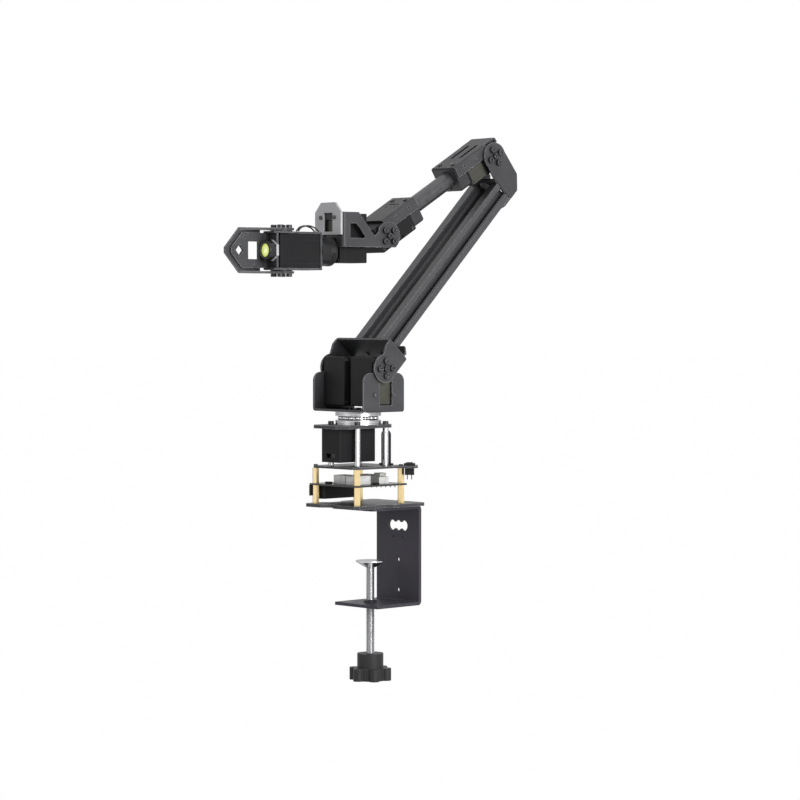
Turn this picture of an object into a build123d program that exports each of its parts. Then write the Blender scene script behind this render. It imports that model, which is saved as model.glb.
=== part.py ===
from build123d import *
import math
import os

# Robot arm for a table edge, in millimetres.
# The origin is on the turret axis at the underside of the base plate, +X points over the table,
# +Y to the arm's left and +Z up. It is modelled in the pose that the photograph shows.

# Pose at rest, in degrees
rest_yaw = -5.5
upper_lean = 43.6
forearm_drop = 31.2

# Reach
turret_foot_gap = 3.1
upper_reach = 246.0
elbow_offset = 30.0
forearm_reach = 149.5
gripper_drop = 14.8
hub_length = 17.1
finger_reach_ahead = 62.0

# Bus servo
servo_length = 45.2
servo_width = 24.7
servo_depth = 31.0
servo_shaft_end = 10.3
servo_wall = 1.6
front_cover = 6.0
rear_cover = 4.0
servo_corner = 1.2
servo_shaft = 3.0
running_fit = 0.05
shaft_gear_radius = 8.0
shaft_gear_thick = 2.5
motor_radius = 8.5
motor_gap = 0.6
pinion_radius = 1.4
servo_port_width = 12.0
servo_port_height = 4.0

# Servo horn
horn_radius = 10.0
horn_thick = 2.7
horn_gap = 0.3
horn_clear = 0.8
horn_screw_circle = 14.0
horn_screw_count = 4

# Screws
screw_radius = 1.5
screw_hole = 1.65
screw_bite = 0.05
cap_head_radius = 2.75
cap_head_height = 3.0
cap_socket_across = 2.5
cap_socket_depth = 1.6
head_chamfer = 0.25
cross_slot = 0.5
small_head_radius = 1.9
small_head_height = 1.2
small_shank_radius = 1.0
small_hole = 1.1

# Bent sheet
sheet = 2.0
bend_inside = 1.0
side_gap = 0.3
ear_radius = 13.0
fit_play = 0.1

# Base plate and table clamp
base_thick = 3.0
base_front = 36.0
base_rear = 54.0
base_half_width = 36.0
base_corner_cut = 4.0
base_notch_depth = 6.0
base_notch_half = 12.0
clamp_width = 57.0
clamp_sheet = 3.0
clamp_back = 53.6
clamp_front = 8.0
clamp_height = 93.0
clamp_lower_front = 3.0
clamp_bend = 4.0
cable_hole_radius = 5.0
cable_hole_pitch = 8.0
cable_hole_below = 20.0
small_pair_below = 30.5
small_pair_half = 6.0
back_hole_radius = 2.2
back_hole_first = 52.0
back_hole_pitch = 28.6
tab_screw_back = 46.0
tab_screw_half = 14.25
clamp_rod_back = 15.2
clamp_rod_radius = 4.0
clamp_thread_fit = 0.08
clamp_hole_gap = 1.0
clamp_nut_across = 11.0
clamp_nut_height = 3.0
clamp_rod_top = 52.0
clamp_rod_length = 110.0
clamp_pad_radius = 13.5
clamp_pad_height = 5.0
clamp_pad_lip = 1.2
clamp_tip_radius = 3.0
clamp_seat_depth = 2.5
clamp_tip_gap = 0.3
knob_hub_radius = 12.2
knob_hub_height = 13.5
knob_star_radius = 15.2
knob_lobe_radius = 4.8
knob_lobes = 6
knob_star_height = 11.5
knob_bore_fit = 0.02
knob_floor = 2.0

# Electronics stack
board_hole_half = 27.8
brass_across = 5.5
brass_lower = 17.0
board_thick = 1.6
brass_upper = 14.4
board_half = 32.3
board_corner = 1.0
mid_thick = 2.0
mid_half = 32.0
mid_corner = 6.0
silver_half = 17.8
silver_radius = 2.75
silver_length = 35.0
top_thick = 3.0
top_front = 42.4
top_rear = 28.8
top_side = 24.0
top_corner = 9.6
power_box = (46.0, 10.0, 13.0)
power_box_gap = 2.0
power_box_side = -26.0
terminal_box = (6.2, 1.4, 10.0)
terminal_place = (29.0, -31.5)
pin_count = 6
pin_size = 0.8
pin_length = 2.2
pin_first = (-24.0, 24.0)
pin_step = (4.0, -2.0)
switch_reach = 47.3
switch_flange = (10.5, 15.0)
switch_body = (8.6, 13.0)
switch_flange_thick = 2.0
switch_body_depth = 8.5
switch_wall = 1.0
switch_fit = 0.15
switch_ear_width = 24.0
switch_ear_reach = 55.0
switch_ear_corner = 3.0
rocker_radius = 6.0
rocker_width = 6.0
rocker_gap = 0.3
rocker_pin = 0.8
rocker_tilt = 8.0
rocker_dish = 0.6
rocker_low = 2.6
switch_tag = (0.8, 2.0, 4.5)
switch_tag_half = 2.0
antenna_place = (-26.5, 9.5)
antenna_size = (3.0, 10.0)
antenna_height = 32.0

# Cans and connectors on the board: middle in x and y, size in x and y, height
board_boxes = [
    (13.0, -4.0, 14.0, 16.0, 8.0),
    (14.0, 15.0, 20.0, 12.0, 8.0),
    (-10.0, 17.0, 12.0, 14.0, 6.5),
    (-23.0, -12.0, 8.0, 12.0, 7.0),
    (-22.0, 6.0, 8.0, 8.0, 11.0),
    (-0.5, -16.0, 7.0, 8.0, 3.0),
]

# Turret bearing
bearing_outer = 21.2
bearing_inner = 12.5
race_thick = 4.0
bearing_height = 12.0
ball_radius = 2.4
ball_circle = 16.5
ball_count = 16
ball_gap = 0.1
groove_radius = 2.5
race_groove = 0.3
cage_half_width = 1.4
cage_half_height = 0.7

# Turret bracket
turret_half_depth = 23.5
turret_wall_drop = 4.0
turret_wall_corner = 8.0
shoulder_servo_gap = 10.0
wall_window = (14.5, 22.0)
wall_window_back = 2.0
wall_window_rise = 1.0
servo_screw_half = 10.4
servo_screw_below = 24.0
turret_hub_radius = 12.0

# Shoulder yoke and elbow bracket
yoke_web_height = 22.3
yoke_front = 14.4
yoke_rear = 12.0
yoke_neck = 16.5
yoke_knee = (10.4, 7.8)
yoke_heel = 6.0
lug_height = 13.0
lug_half_width = 35.0
lug_screw_half = 27.0
lug_screw_rise = 4.3
lug_chamfer = 7.8
elbow_web_drop = 14.0
elbow_web_front = 14.5
elbow_throat = (4.0, 12.0)
elbow_brow = (5.0, 12.0)
elbow_crown = (11.0, 7.7)
elbow_nape = 3.3
elbow_horn_turn = 31.0
elbow_lug_chamfer = 4.3
grommet_radius = 7.0
grommet_forward = 4.8
side_opening = (9.0, 4.0)
side_opening_half = 15.5
side_opening_back = 3.0

# Upper arm profile, 40 by 20 with a trough in front and a slot in every other face
profile_width = 40.0
profile_depth = 20.0
trough_width = 21.0
trough_depth = 9.5
trough_corner = 6.0
slot_mouth = 9.2
slot_neck = 6.2
slot_bevel = 1.6
slot_lip = 1.0
slot_depth = 5.6
slot_chamber = 9.0
core_radius = 2.1
core_half = 11.0
core_back = 5.5
core_screw_bite = 8.0

# Forearm
channel_start = 3.0
channel_end = 46.5
channel_wall = 9.0
channel_clear = 0.3
tube_radius = 8.0
tube_wall = 1.0
tube_rise = 1.6
tube_fit = 0.1
clamp_block_long = 12.0
clamp_block_gap = 0.3
clamp_slit = 1.5
clamp_block_low = 10.5
clamp_block_chamfer = 2.0
clamp_screw_half = 9.5
clamp_screw_bite = 3.0
tube_end_gap = 0.5
wall_screw_radius = 1.5
wall_screw_proud = 0.2
wall_screw_drop = 5.4
wall_screw_places = (18.2, 35.6)
web_slot = (26.0, 4.5)
web_slot_corner = 2.2
web_slot_place = 16.0
web_slot_half = 6.0
hood_gap = 0.6
hood_bend = 1.0
hood_drop = 6.0
cable_slot = (1.6, 16.0)
cable_slot_place = 34.0
web_hole_radius = 1.2
web_hole_pitch = 6.0
web_hole_place = 29.5

# Wrist
wrist_front = 53.0
wrist_plate_top = 21.2
wrist_plate_low = 10.5
wrist_cut_front = 35.0
wrist_notch = (17.0, -0.5)
wrist_window = [(45.0, 11.0), (37.5, 11.0), (26.0, -2.5), (45.0, -2.5)]
wrist_window_corner = 1.5
wrist_opening_edge = 2.0
wrist_opening_deep = 8.0
face_plate_top = 30.0
face_plate_low = 0.5
face_plate_half = 19.5
face_plate_cut = 9.0
face_plate_window = (14.0, 17.2)
face_plate_middle = 12.0
face_plate_screw_high = 16.2
face_plate_screw_half = 10.2

# Gripper
hub_radius = 13.5
hub_groove = 0.7
hub_groove_places = (2.6, 4.3, 6.0)
fixed_sheet = 1.5
finger_sheet = 1.8
finger_gap = 0.15
fixed_flange_reach = 17.3
fixed_flange_front_ahead = 20.0
finger_tip_ahead = 56.5
finger_shoulder_ahead = 45.0
finger_half = 15.7
jaw_shoulder_ahead = 46.2
finger_nose = 2.5
finger_window = (133.4, 145.5, 7.8)
finger_diamond = (154.5, 4.5, 5.6)
finger_holes = [(150.0, 12.0), (150.0, -12.0), (140.0, 11.5), (140.0, -11.5), (162.0, 0.0)]
finger_hole_radius = 0.9
finger_start_ahead = 16.0
jaw_web_start_ahead = 23.5
jaw_ear_radius = 11.5
jaw_arm_front_ahead = 29.5
jaw_arm_side = 11.0
lamp_radius = 8.3
lamp_face_ahead = 27.0
lamp_side = 12.0
lamp_collar_across = 16.4
lamp_collar_thick = 2.6
lamp_lens_radius = 6.0
lamp_lens_depth = 1.6
lamp_bolt_radius = 4.0
lamp_edge = 0.8

# Leads of the gripper servo
lead_radius = 0.7
lead_pitch = 3.0
lead_gap = 0.2


def block(x0, x1, y0, y1, z0, z1):
    solid = Box(x1 - x0, y1 - y0, z1 - z0)
    return Pos((x0 + x1) / 2, (y0 + y1) / 2, (z0 + z1) / 2) * solid


def rod(radius, z0, z1):
    return Pos(0, 0, (z0 + z1) / 2) * Cylinder(radius, z1 - z0)


def side_shape(points, half_width):
    """Solid with this outline in XZ, as wide as twice half_width across Y."""
    face = make_face(Polyline(points, close=True))
    turned = Plane.XZ * face
    return extrude(turned, half_width, both=True)


def flat_shape(points, z0, z1):
    face = make_face(Polyline(points, close=True))
    return Pos(0, 0, z0) * extrude(face, z1 - z0)


def one_of(*solids):
    return Compound(children=[piece for item in solids for piece in item.solids()])


def u_sheet(half_depth, outer_half_width, height, thick, inside):
    """Sheet bent to a U with its floor on z = 0, the walls across Y and the bends along X."""
    outer = block(-half_depth, half_depth, -outer_half_width, outer_half_width, 0, height)
    low = outer.edges().filter_by(Axis.X).sort_by(Axis.Z)[:2]
    outer = fillet(low, thick + inside)
    free = outer_half_width - thick
    inner = block(-half_depth, half_depth, -free, free, thick, height)
    low = inner.edges().filter_by(Axis.X).sort_by(Axis.Z)[:2]
    inner = fillet(low, inside)
    return outer - inner


def hexagon(across, z0, z1):
    return Pos(0, 0, z0) * extrude(RegularPolygon(across / 2, 6, major_radius=False), z1 - z0)


def cap_screw(length):
    """Socket head screw, the head on z = 0 and the shank below it."""
    head = rod(cap_head_radius, 0, cap_head_height)
    rim = head.edges().group_by(Axis.Z)[-1]
    head = chamfer(rim, head_chamfer)
    socket = hexagon(cap_socket_across, cap_head_height - cap_socket_depth, cap_head_height)
    return head - socket + rod(screw_radius - screw_bite, -length, 0)


def small_screw(length):
    head = rod(small_head_radius, 0, small_head_height)
    cross = block(-small_shank_radius, small_shank_radius, -cross_slot / 2, cross_slot / 2,
                  small_head_height / 2, small_head_height)
    return head - cross - Rot(0, 0, 90) * cross + rod(small_shank_radius, -length, 0)


def horn_spots():
    spots = [Location((0, 0, 0))]
    for index in range(horn_screw_count):
        angle = 45 + 360 / horn_screw_count * index
        spots.append(Rot(0, 0, angle) * Pos(horn_screw_circle / 2, 0, 0))
    return spots


servo_half_depth = servo_depth / 2
servo_half_width = servo_width / 2
servo_tail = servo_length - servo_shaft_end
horn_seat = servo_half_depth + horn_gap
horn_face = horn_seat + horn_thick


def servo_block(z0, z1, shrink=0.0):
    """Servo outline round its shaft, with the tail towards -X."""
    solid = block(-servo_tail + shrink, servo_shaft_end - shrink,
                  -servo_half_width + shrink, servo_half_width - shrink, z0, z1)
    return fillet(solid.edges().filter_by(Axis.Z), max(servo_corner - shrink / 2, 0.3))


def servo_case():
    low = -servo_half_depth + rear_cover
    high = servo_half_depth - front_cover
    case = servo_block(low, high) - servo_block(low, high, servo_wall)
    port = block(-servo_tail, -servo_tail + servo_wall, -servo_port_width / 2, servo_port_width / 2,
                 low, low + servo_port_height)
    return case - port


def servo_covers():
    high = servo_half_depth - front_cover
    low = -servo_half_depth + rear_cover
    front = servo_block(high, servo_half_depth)
    gear_room = rod(shaft_gear_radius + motor_gap, high, high + front_cover / 2)
    front = front - gear_room - rod(servo_shaft + running_fit, high, servo_half_depth)
    rear = servo_block(-servo_half_depth, low)
    rear = rear - rod(servo_shaft + running_fit, -servo_half_depth, low)
    for side in (-1, 1):
        screw = Pos(-servo_tail / 2, side * servo_screw_half, servo_half_depth)
        front = front - screw * rod(small_hole, -front_cover / 2, 0)
        screw = Pos(-servo_tail / 2, side * servo_screw_half, -servo_half_depth)
        rear = rear - screw * rod(small_hole, 0, rear_cover / 2)
    return front, rear


def servo_motor():
    low = -servo_half_depth + rear_cover
    high = servo_half_depth - front_cover
    place = Pos(-servo_tail + servo_wall + motor_gap + motor_radius, 0, 0)
    can = rod(motor_radius, low, high - motor_gap)
    pinion = rod(pinion_radius, high - motor_gap, high)
    return place * (can + pinion)


def output_horn():
    """Horn on the gear side, in one piece with its shaft and last gear."""
    disc = rod(horn_radius, horn_seat, horn_face)
    high = servo_half_depth - front_cover
    shaft = rod(servo_shaft, high, horn_seat)
    gear = rod(shaft_gear_radius, high, high + shaft_gear_thick)
    horn = disc + shaft + gear
    for spot in horn_spots():
        horn = horn - spot * rod(screw_radius, horn_seat, horn_face)
    return horn


def idler_horn():
    disc = rod(horn_radius, -horn_face, -horn_seat)
    pin = rod(servo_shaft, -horn_seat, -servo_half_depth + rear_cover)
    horn = disc + pin
    for spot in horn_spots():
        horn = horn - spot * rod(screw_radius, -horn_face, -horn_seat)
    return horn


def horn_holes(z0, z1):
    holes = rod(screw_hole, z0, z1)
    for spot in horn_spots()[1:]:
        holes = holes + spot * rod(screw_hole, z0, z1)
    return holes


# A servo with its shaft along Y and its tail towards -X, or towards -Z
across = Rot(-90, 0, 0)
across_down = Rot(0, -90, 0) * Rot(-90, 0, 0)

board_low = base_thick + brass_lower
board_top = board_low + board_thick
mid_low = board_top + brass_upper
mid_top = mid_low + mid_thick
top_low = mid_top + silver_length
top_top = top_low + top_thick
turret_floor = top_top + bearing_height
shoulder_height = turret_floor + sheet + turret_foot_gap + servo_tail
shoulder_spread = shoulder_servo_gap / 2 + servo_half_depth
wall_outside = shoulder_spread + servo_half_depth + side_gap + sheet
yoke_inside = shoulder_spread + horn_face
ear_inside = horn_face
ear_outside = horn_face + sheet
channel_top = servo_half_width + channel_clear + sheet
channel_side = servo_half_depth + side_gap + sheet
hood_back = servo_shaft_end + hood_gap + sheet
clamp_block_middle = servo_tail + clamp_block_gap + clamp_block_long / 2
horn_front = wrist_front - sheet - side_gap + horn_gap + horn_thick
jaw_frame_rear = horn_front + hub_length
gripper_reach = jaw_frame_rear + fixed_sheet + side_gap + servo_tail
finger_reach = gripper_reach + finger_reach_ahead
finger_shoulder = gripper_reach + finger_shoulder_ahead
finger_tip = gripper_reach + finger_tip_ahead
finger_start = gripper_reach + finger_start_ahead
fixed_flange_front = gripper_reach + fixed_flange_front_ahead
jaw_shoulder = gripper_reach + jaw_shoulder_ahead
jaw_web_start = gripper_reach + jaw_web_start_ahead
jaw_arm_front = gripper_reach + jaw_arm_front_ahead
lamp_face = gripper_reach + lamp_face_ahead

# Places of the links, each modelled upright with X forward and Z up
turret_place = Rot(0, 0, rest_yaw)
upper_place = turret_place * Pos(0, 0, shoulder_height) * Rot(0, -upper_lean, 0)
elbow_place = upper_place * Pos(elbow_offset, 0, upper_reach)
forearm_place = elbow_place * Rot(0, upper_lean + forearm_drop, 0)
wrist_place = forearm_place * Pos(forearm_reach, 0, 0) * Rot(0, -forearm_drop, 0)
gripper_place = wrist_place * Pos(0, 0, -gripper_drop)

nodes = {}


def corner_spots(half):
    return [Pos(x * half, y * half, 0) for x in (-1, 1) for y in (-1, 1)]


def cut_plate(back, front, side, cut, z0, z1):
    """Plate from back to front along X with its four corners cut off."""
    points = [(front - cut, -side), (front, cut - side), (front, side - cut), (front - cut, side),
              (back + cut, side), (back, side - cut), (back, cut - side), (back + cut, -side)]
    return flat_shape(points, z0, z1)


def base_plate():
    f, r, w, c = base_front, base_rear, base_half_width, base_corner_cut
    d, n = base_notch_depth, base_notch_half
    points = [(f - c, -w), (f, c - w), (f, -n), (f - d, -n + d), (f - d, n - d), (f, n), (f, w - c),
              (f - c, w), (n, w), (n - d, w - d), (d - n, w - d), (-n, w), (c - r, w), (-r, w - c),
              (-r, c - w), (c - r, -w), (-n, -w), (d - n, d - w), (n - d, d - w), (n, -w)]
    plate = flat_shape(points, 0, base_thick)
    for spot in corner_spots(board_hole_half):
        plate = plate - spot * countersunk_hole()
    for spot in tab_spots():
        plate = plate - spot * Pos(0, 0, base_thick) * Rot(180, 0, 0) * countersunk_hole()
    return plate


def countersunk_hole():
    sink = Cone(small_head_radius, small_hole, small_head_height)
    return Pos(0, 0, small_head_height / 2) * sink + rod(small_hole, 0, base_thick)


def tab_spots():
    return [Pos(x, side * tab_screw_half, 0) for x in (-tab_screw_back, 0) for side in (-1, 1)]


def clamp_bracket():
    """C of bent sheet: a tab under the base plate, the back and a lower tab with the nut."""
    half = clamp_width / 2
    low = -clamp_height
    outer = block(-clamp_back, clamp_front, -half, half, low, 0)
    bends = outer.edges().filter_by(Axis.Y).sort_by(Axis.X)[:2]
    outer = fillet(bends, clamp_bend)
    free = block(-clamp_back + clamp_sheet, clamp_front, -half, half, low + clamp_sheet, -clamp_sheet)
    bends = free.edges().filter_by(Axis.Y).sort_by(Axis.X)[:2]
    free = fillet(bends, clamp_bend - clamp_sheet)
    bracket = outer - free
    bracket = bracket - block(clamp_lower_front, clamp_front, -half, half, low, low + clamp_sheet)
    corner = bracket.edges().filter_by(Axis.Z).group_by(Axis.X)[-1]
    bracket = fillet(corner, clamp_bend)
    through = Pos(-clamp_back, 0, 0) * Rot(0, 90, 0)
    for step in (-1, 0, 1):
        hole = Pos(0, step * cable_hole_pitch, -cable_hole_below) * through
        bracket = bracket - hole * rod(cable_hole_radius, 0, clamp_sheet)
    for side in (-1, 1):
        hole = Pos(0, side * small_pair_half, -small_pair_below) * through
        bracket = bracket - hole * rod(small_hole, 0, clamp_sheet)
    for step in (0, 1):
        hole = Pos(0, 0, -back_hole_first - step * back_hole_pitch) * through
        bracket = bracket - hole * rod(back_hole_radius, 0, clamp_sheet)
    for spot in tab_spots():
        bracket = bracket - spot * rod(small_shank_radius, -clamp_sheet, 0)
    rod_hole = rod(clamp_rod_radius + clamp_hole_gap, low, low + clamp_sheet)
    return bracket - Pos(-clamp_rod_back, 0, 0) * rod_hole


def clamp_nut():
    low = -clamp_height + clamp_sheet
    nut = hexagon(clamp_nut_across, low, low + clamp_nut_height)
    return Pos(-clamp_rod_back, 0, 0) * (
        nut - rod(clamp_rod_radius + clamp_thread_fit, low, low + clamp_nut_height))


def clamp_parts():
    """Threaded rod with its pad on top and the star knob at its foot."""
    top = -clamp_rod_top
    neck = top - clamp_seat_depth
    bottom = top - clamp_rod_length
    place = Pos(-clamp_rod_back, 0, 0)
    shank = rod(clamp_rod_radius, bottom + knob_floor, neck)
    tip = rod(clamp_tip_radius, neck, top - clamp_pad_lip)
    nodes["clamp_screw"] = place * (shank + tip)
    cup = Cone(clamp_rod_radius + clamp_pad_lip, clamp_pad_radius, clamp_pad_height)
    cup = Pos(0, 0, top - clamp_pad_height / 2) * cup
    rim = rod(clamp_pad_radius, top, top + clamp_pad_lip)
    seat = rod(clamp_tip_radius + running_fit, neck, top - clamp_pad_lip + clamp_tip_gap)
    under = rod(clamp_rod_radius + running_fit, top - clamp_pad_height, neck)
    nodes["clamp_pad"] = place * (cup + rim - seat - under)
    star_top = bottom + knob_star_height
    hub_top = star_top + knob_hub_height
    star = rod(knob_star_radius, bottom, star_top)
    for index in range(knob_lobes):
        lobe = Pos(knob_star_radius, 0, 0) * rod(knob_lobe_radius, bottom, star_top)
        star = star + Rot(0, 0, 360 / knob_lobes * index) * lobe
    hub = rod(knob_hub_radius, star_top, hub_top)
    bore = rod(clamp_rod_radius + knob_bore_fit, bottom + knob_floor, hub_top)
    nodes["clamp_knob"] = place * (star + hub - bore)


def build_base():
    nodes["clamp_bracket"] = clamp_bracket()
    nodes["base_plate"] = base_plate()
    spots = corner_spots(board_hole_half)
    brass = []
    for spot in spots:
        hole = rod(screw_radius, base_thick, mid_low)
        brass.append(spot * (hexagon(brass_across, base_thick, board_low) - hole))
        brass.append(spot * (hexagon(brass_across, board_top, mid_low) - hole))
    nodes["brass_standoffs"] = one_of(*brass)
    board = cut_plate(-board_half, board_half, board_half, board_corner, board_low, board_top)
    for spot in spots:
        board = board - spot * rod(screw_hole, board_low, board_top)
    nodes["controller_board"] = board
    nodes["board_components"] = board_components()
    nodes["power_module"] = power_module()
    nodes["mid_plate"] = mid_plate(spots)
    silver = [spot * (rod(silver_radius, mid_top, top_low) - rod(screw_radius, mid_top, top_low))
              for spot in corner_spots(silver_half)]
    nodes["silver_standoffs"] = one_of(*silver)
    top = cut_plate(-top_rear, top_front, top_side, top_corner, top_low, top_top)
    for spot in corner_spots(silver_half):
        top = top - spot * rod(screw_hole, top_low, top_top)
    nodes["top_plate"] = top - rod(turret_hub_radius, top_low, top_top)
    nodes["antenna"] = antenna()
    screws = []
    for spot in spots:
        screws.append(spot * Rot(180, 0, 0) * flat_screw(base_thick + brass_lower / 3))
        screws.append(spot * Pos(0, 0, mid_top) * small_screw(mid_thick + brass_upper / 3))
    for spot in corner_spots(silver_half):
        screws.append(spot * Pos(0, 0, top_top) * cap_screw(top_thick + silver_length / 4))
    for spot in tab_spots():
        screws.append(spot * Pos(0, 0, base_thick) * flat_screw(base_thick + clamp_sheet))
    screws.append(clamp_nut())
    nodes["base_fasteners"] = one_of(*screws)
    base_servo()


def flat_screw(length):
    """Countersunk screw, the top of its head on z = 0 and the shank below it."""
    head = Pos(0, 0, -small_head_height / 2) * Cone(small_hole, small_head_radius, small_head_height)
    cross = block(-small_shank_radius, small_shank_radius, -cross_slot / 2, cross_slot / 2,
                  -small_head_height / 2, 0)
    return head - cross - Rot(0, 0, 90) * cross + rod(small_shank_radius, -length, -small_head_height)


def board_components():
    parts = []
    for x, y, wide, deep, high in board_boxes:
        part = block(-wide / 2, wide / 2, -deep / 2, deep / 2, board_top, board_top + high)
        parts.append(Pos(x, y, 0) * part)
    wide, deep, high = terminal_box
    terminal = block(-wide / 2, wide / 2, -deep / 2, deep / 2, board_low - high, board_low)
    parts.append(Pos(*terminal_place) * terminal)
    half = pin_size / 2
    for index in range(pin_count):
        pin = block(-half, half, -half, half, board_low - pin_length, board_low)
        parts.append(Pos(pin_first[0] + pin_step[0] * index, pin_first[1] + pin_step[1] * index) * pin)
    return one_of(*parts)


def power_module():
    long, wide, high = power_box
    top = board_low
    box = block(-long / 2, long / 2, -wide / 2, wide / 2, top - high, top)
    x = terminal_place[0] - terminal_box[0] / 2 - power_box_gap - long / 2
    return Pos(x, power_box_side, 0) * fillet(box.edges().filter_by(Axis.Z), board_thick)


def mid_plate(spots):
    plate = cut_plate(-mid_half, mid_half, mid_half, mid_corner, mid_low, mid_top)
    ear = block(0, switch_ear_reach, -switch_ear_width / 2, switch_ear_width / 2, mid_low, mid_top)
    ear = fillet(ear.edges().filter_by(Axis.Z), switch_ear_corner)
    plate = plate + Rot(0, 0, 135) * ear
    for spot in spots:
        plate = plate - spot * rod(small_hole, mid_low, mid_top)
    for spot in corner_spots(silver_half):
        plate = plate - spot * rod(screw_hole, mid_low, mid_top)
    hole = block(-switch_body[0] / 2 - switch_fit, switch_body[0] / 2 + switch_fit,
                 -switch_body[1] / 2 - switch_fit, switch_body[1] / 2 + switch_fit, mid_low, mid_top)
    return plate - Rot(0, 0, 135) * Pos(switch_reach, 0, 0) * hole


def switch_parts():
    place = Rot(0, 0, 135) * Pos(switch_reach, 0, mid_top)
    half = switch_body[0] / 2
    long = switch_body[1] / 2
    flange = block(-switch_flange[0] / 2, switch_flange[0] / 2, -switch_flange[1] / 2,
                   switch_flange[1] / 2, 0, switch_flange_thick)
    flange = fillet(flange.edges().filter_by(Axis.Z), switch_wall)
    body = flange + block(-half, half, -long, long, -switch_body_depth, 0)
    room_half = rocker_width / 2 + rocker_gap
    room_long = rocker_radius + rocker_gap
    body = body - block(-room_half, room_half, -room_long, room_long,
                        -rocker_low - rocker_radius / 2 - rocker_gap * 4, switch_flange_thick)
    pivot = Pos(0, 0, -rocker_low) * Rot(0, 90, 0)
    body = body - pivot * rod(rocker_pin + running_fit, -half + switch_wall / 2, half - switch_wall / 2)
    tag_wide, tag_thick, tag_long = switch_tag
    for side in (-1, 1):
        tag = block(-tag_wide / 2, tag_wide / 2, -tag_thick / 2, tag_thick / 2,
                    -switch_body_depth - tag_long, -switch_body_depth)
        body = body + Pos(side * switch_tag_half, 0, 0) * tag
    nodes["power_switch_housing"] = place * body
    drum_radius = rocker_radius - rocker_gap
    lying = Rot(0, 90, 0)
    drum = lying * rod(drum_radius, -rocker_width / 2, rocker_width / 2)
    rocker = drum & block(-half, half, -long, long, -rocker_radius / 2, rocker_radius)
    dish = Pos(0, 0, drum_radius * 2 - rocker_dish) * lying * rod(drum_radius, -half, half)
    pin = lying * rod(rocker_pin, -half + switch_wall, half - switch_wall)
    rest = place * Pos(0, 0, -rocker_low) * Rot(rocker_tilt, 0, 0)
    nodes["power_switch_rocker"] = rest * (rocker - dish + pin)


def antenna():
    wide, long = antenna_size
    slab = block(-wide / 2, wide / 2, -long / 2, long / 2, mid_top, mid_top + antenna_height)
    tops = slab.edges().filter_by(Axis.X).group_by(Axis.Z)[-1]
    slab = fillet(tops, long / 2 - wide / 4)
    foot = block(-wide, wide, -long / 2 - wide / 2, long / 2 + wide / 2, mid_top, mid_top + wide / 2)
    return Pos(antenna_place[0], antenna_place[1], 0) * (slab + foot)


def base_servo():
    place = Pos(0, 0, top_low - servo_half_depth) * Rot(0, 0, 180)
    nodes["base_servo_case"] = place * servo_case()
    nodes["base_servo_covers"] = one_of(*[place * cover for cover in servo_covers()])
    nodes["base_servo_motor"] = place * servo_motor()
    nodes["turret_horn"] = turret_horn()


def turret_horn():
    """Horn of the base servo, with the hub that carries the turret bracket."""
    seat = top_low + horn_gap
    high = top_low - front_cover
    shaft = rod(servo_shaft, high, seat)
    gear = rod(shaft_gear_radius, high, high + shaft_gear_thick)
    disc = rod(horn_radius, seat, turret_floor)
    horn = disc + shaft + gear
    for spot in horn_spots():
        horn = horn - spot * rod(screw_radius, turret_floor - horn_thick * 2, turret_floor)
    return horn


def bearing_race(z0, groove_z):
    race = rod(bearing_outer, z0, z0 + race_thick) - rod(bearing_inner, z0, z0 + race_thick)
    for level in (0.3, 0.7):
        line = Pos(0, 0, z0 + race_thick * level) * Torus(bearing_outer, race_groove)
        race = race - line
    return race - Pos(0, 0, groove_z) * Torus(ball_circle, groove_radius)


def build_bearing():
    middle = top_top + bearing_height / 2
    nodes["bearing_lower_race"] = bearing_race(top_top, middle)
    nodes["bearing_upper_race"] = bearing_race(turret_floor - race_thick, middle)
    balls = []
    for index in range(ball_count):
        balls.append(Rot(0, 0, 360 / ball_count * index) * Pos(ball_circle, 0, middle)
                     * Sphere(ball_radius))
    low = middle - cage_half_height
    high = middle + cage_half_height
    cage = rod(ball_circle + cage_half_width, low, high) - rod(ball_circle - cage_half_width, low, high)
    for index in range(ball_count):
        cage = cage - Rot(0, 0, 360 / ball_count * index) * Pos(ball_circle, 0, middle) * Sphere(
            ball_radius + ball_gap)
    nodes["bearing_balls"] = one_of(cage, *balls)


def turret_bracket():
    wall = shoulder_height - turret_floor - turret_wall_drop
    bracket = u_sheet(turret_half_depth, wall_outside, wall, sheet, bend_inside)
    tops = bracket.edges().filter_by(Axis.Y).group_by(Axis.Z)[-1]
    bracket = fillet(tops, turret_wall_corner)
    bracket = Pos(0, 0, turret_floor) * bracket
    shaft = Pos(0, 0, shoulder_height) * Rot(90, 0, 0)
    bracket = bracket - shaft * rod(horn_radius + horn_clear, -wall_outside, wall_outside)
    wide, high = wall_window
    low = shoulder_height - servo_tail + wall_window_rise
    back = -wall_window_back - wide / 2
    bracket = bracket - block(back, back + wide, -wall_outside, wall_outside, low, low + high)
    for side in (-1, 1):
        for x in (-1, 1):
            hole = Pos(x * servo_screw_half, side * wall_outside, shoulder_height - servo_screw_below)
            bracket = bracket - hole * Rot(90, 0, 0) * Pos(0, 0, side * sheet / 2) * rod(
                small_hole, -sheet * 2, sheet * 2)
    return bracket - Pos(0, 0, turret_floor) * horn_holes(0, sheet)


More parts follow.
